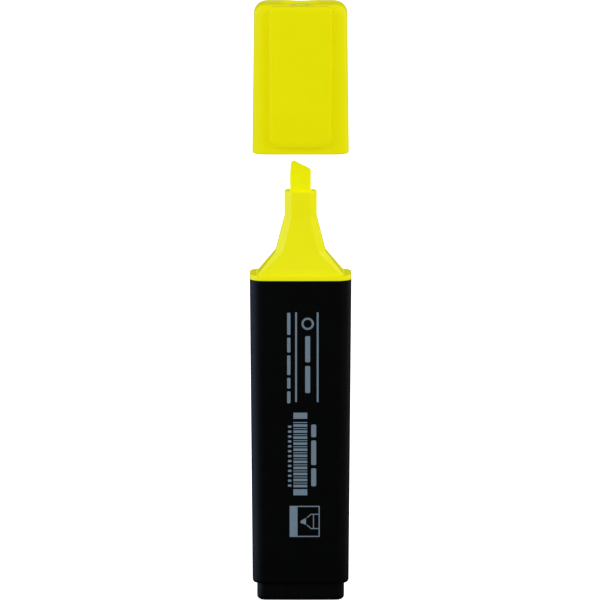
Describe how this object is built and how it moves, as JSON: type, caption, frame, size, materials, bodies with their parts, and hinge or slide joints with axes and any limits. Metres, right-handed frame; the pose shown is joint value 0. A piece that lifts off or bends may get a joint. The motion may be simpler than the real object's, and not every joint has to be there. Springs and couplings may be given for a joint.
{
  "type": "highlighter",
  "caption": "Flat highlighter pen with a chisel nib, shown uncapped: barrel, flared neck, ink reservoir, end plug, and a clip cap that slides on.",
  "frame": {"origin": "centre of the end plug's flat bottom", "axes": "+Z along the pen from the end plug to the nib; -Y is the face that carries the clip; +X across the broad face"},
  "size_m": [0.0244, 0.0145, 0.1451],
  "materials": {
    "barrel_black": "satin moulded polypropylene with a fine grain",
    "plug_black": "satin moulded polypropylene",
    "neck_yellow": "semi-gloss fluorescent yellow moulding",
    "nib_fibre": "bonded polyester fibre soaked in fluorescent ink",
    "core_fibre": "open fibre soaked in fluorescent ink",
    "film": "thin clear film",
    "cap_yellow": "semi-gloss fluorescent yellow moulding",
    "inner_yellow": "plain fluorescent yellow moulding"
  },
  "bodies": {
    "pen": {"barrel": "barrel_black", "end_plug": "plug_black", "front_section": "neck_yellow", "nib": "nib_fibre", "ink_reservoir": "core_fibre", "reservoir_film": "film"},
    "cap": {"cap_shell": "cap_yellow", "inner_cap": "inner_yellow"},
    "clip": {"cap_clip": "cap_yellow"}
  },
  "joints": [
    {"name": "cap_slide", "type": "slide", "parent": "pen", "child": "cap", "axis": [0, 0, 1], "range_m": [-0.0293, 0]},
    {"name": "clip_flex", "type": "hinge", "parent": "cap", "child": "clip", "pos_m": [0, -0.0048, 0.14498], "axis": [-1, 0, 0], "range_deg": [0, 4], "stiffness_Nm_per_rad": 0.5}
  ]
}
